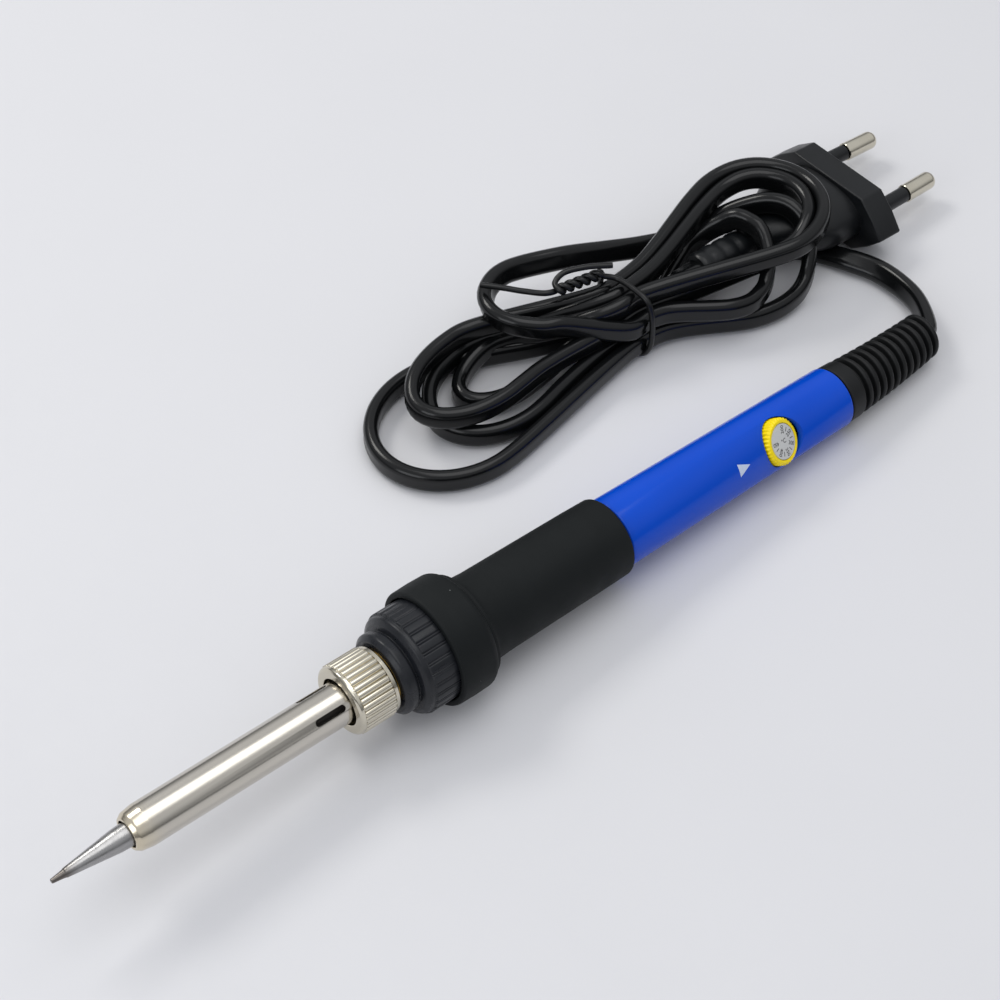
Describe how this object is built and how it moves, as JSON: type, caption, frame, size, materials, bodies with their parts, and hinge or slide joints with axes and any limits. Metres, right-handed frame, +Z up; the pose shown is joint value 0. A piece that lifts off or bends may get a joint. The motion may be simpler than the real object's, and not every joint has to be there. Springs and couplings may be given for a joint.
{
  "type": "soldering iron",
  "caption": "Mains soldering iron with a pointed tip, fluted barrel nut, soft collared grip, blue handle with a temperature knob, and a bundled flat lead with a round-pin plug.",
  "frame": {"origin": "centre of the iron's footprint box on the surface that it lies on, without its lead, bundle and plug", "axes": "+X along the iron from the tip to the lead, +Z up"},
  "size_m": [0.248, 0.0752, 0.0237],
  "materials": {
    "plated_copper": "iron-plated copper, satin, tinned at the end",
    "stainless_tube": "drawn stainless tube, polished, slightly warm",
    "nickel_plating": "nickel-plated brass, bright",
    "ceramic": "alumina ceramic, matte white",
    "brass": "turned brass thread",
    "phenolic": "moulded black phenolic, satin",
    "silicone": "moulded black silicone, matte",
    "blue_plastic": "moulded blue nylon, glossy",
    "laminate": "paper laminate board",
    "component_black": "moulded epoxy, matte black",
    "steel_shaft": "turned steel",
    "yellow_plastic": "moulded yellow ABS, semi-gloss",
    "dial_foil": "printed light grey foil",
    "film_red": "dipped epoxy, red-brown",
    "resistor_tan": "lacquered tan",
    "wire_sleeve": "pale insulation",
    "cord_jacket": "extruded black vinyl, semi-gloss",
    "black_rubber": "moulded black rubber, matte",
    "tie_plastic": "black plastic over wire",
    "plug_vinyl": "moulded black vinyl, matte"
  },
  "bodies": {
    "iron": {"heater_element": "ceramic", "heater_holder": "ceramic", "threaded_ferrule": "brass", "front_cap": "phenolic", "grip_sleeve": "silicone", "handle_shell": "blue_plastic", "circuit_board": "laminate", "potentiometer": "component_black", "triac": "component_black", "film_capacitor": "film_red", "resistor_left": "resistor_tan", "resistor_right": "resistor_tan", "heater_lead_left": "wire_sleeve", "heater_lead_right": "wire_sleeve", "lead_inside_handle": "cord_jacket", "mains_core_left": "wire_sleeve", "mains_core_right": "wire_sleeve", "cord_clamp": "component_black", "strain_relief": "black_rubber", "cord_free_run": "cord_jacket", "cord_hank": "cord_jacket", "cord_tie": "tie_plastic", "plug_body": "plug_vinyl", "plug_pin_left": "nickel_plating", "plug_pin_right": "nickel_plating", "pin_sleeve_left": "plug_vinyl", "pin_sleeve_right": "plug_vinyl"},
    "barrel": {"soldering_tip": "plated_copper", "barrel_tube": "stainless_tube"},
    "nut": {"barrel_nut": "nickel_plating"},
    "knob": {"temperature_knob": "yellow_plastic", "knob_dial": "dial_foil", "pot_shaft": "steel_shaft"}
  },
  "joints": [
    {"name": "barrel_pull", "type": "slide", "parent": "iron", "child": "barrel", "axis": [-0.9986, 0, 0.0534], "range_m": [0, 0.05]},
    {"name": "nut_turn", "type": "hinge", "parent": "barrel", "child": "nut", "pos_m": [-0.04099, 0, 0.01282], "axis": [-0.9986, 0, 0.0534], "continuous": true},
    {"name": "knob_turn", "type": "hinge", "parent": "iron", "child": "knob", "pos_m": [0.05889, -0.00538, 0.01139], "axis": [0.2383, -0.7913, 0.563], "range_deg": [-270, 0]}
  ]
}
